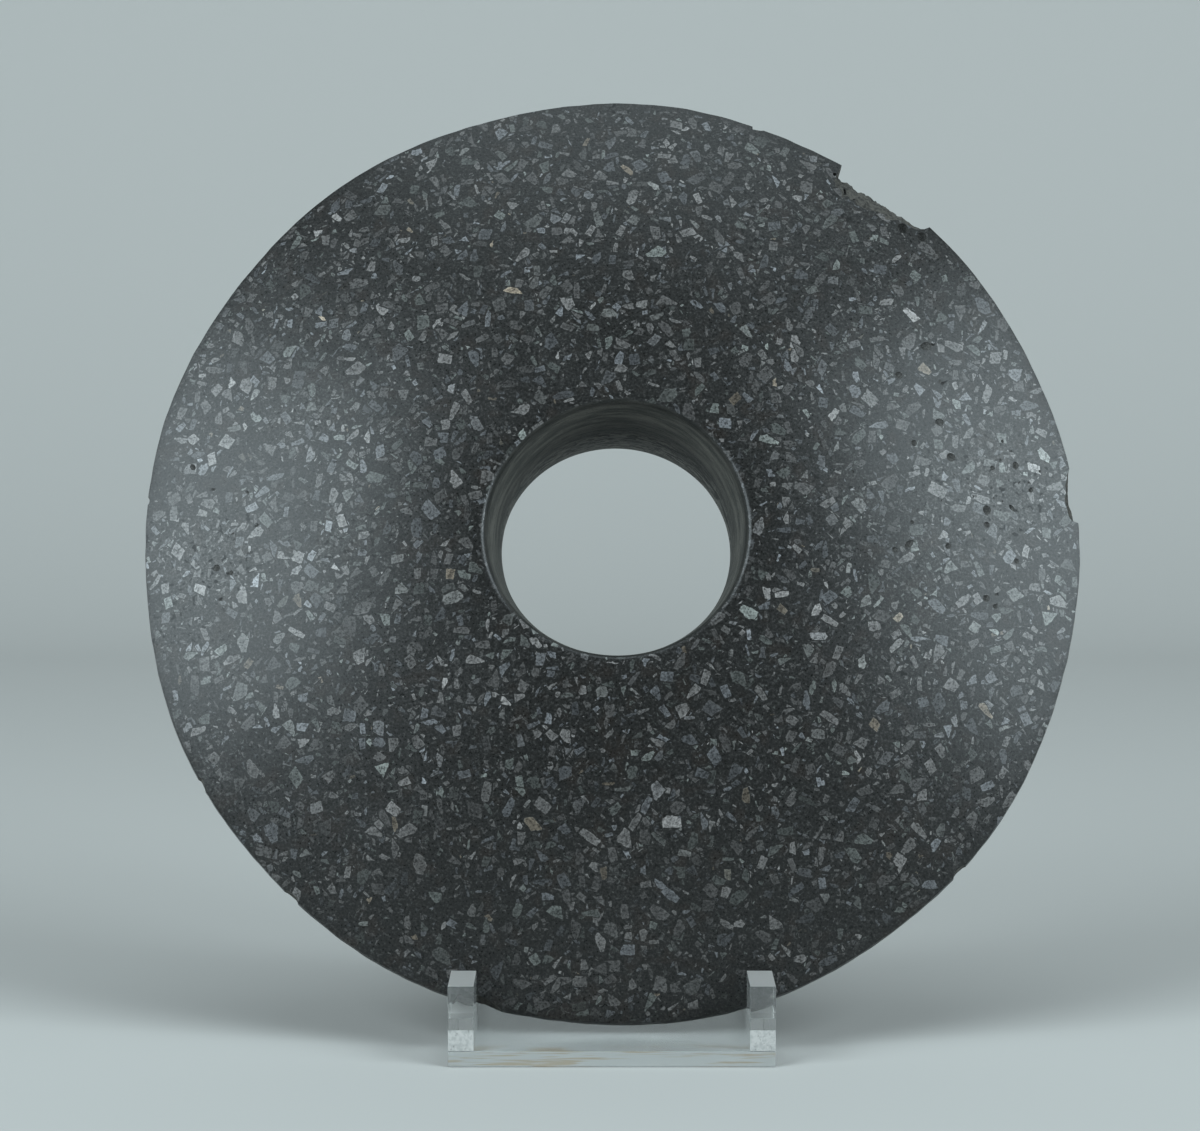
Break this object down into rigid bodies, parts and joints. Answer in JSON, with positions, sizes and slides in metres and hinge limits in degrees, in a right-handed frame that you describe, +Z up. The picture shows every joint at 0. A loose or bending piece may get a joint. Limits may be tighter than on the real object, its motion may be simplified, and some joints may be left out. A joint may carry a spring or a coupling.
{
  "type": "perforated stone disc on cradle",
  "caption": "Polished dark stone disc, thick at its large bore and thin at the rim, leaning upright in a clear acrylic cradle.",
  "frame": {"origin": "on the surface that the base plate stands on, under the middle of the whole object's box", "axes": "+Z up; +X to the viewer's right; -Y towards the viewer, the way the disc's better face looks"},
  "size_m": [0.19, 0.078, 0.1882],
  "materials": {
    "stone": "polished dark stone with angular light grey crystals",
    "acrylic": "clear polished acrylic"
  },
  "bodies": {
    "root": {"stone_disc": "stone", "stand_base": "acrylic", "stand_side_left": "acrylic", "stand_side_right": "acrylic"}
  },
  "joints": []
}
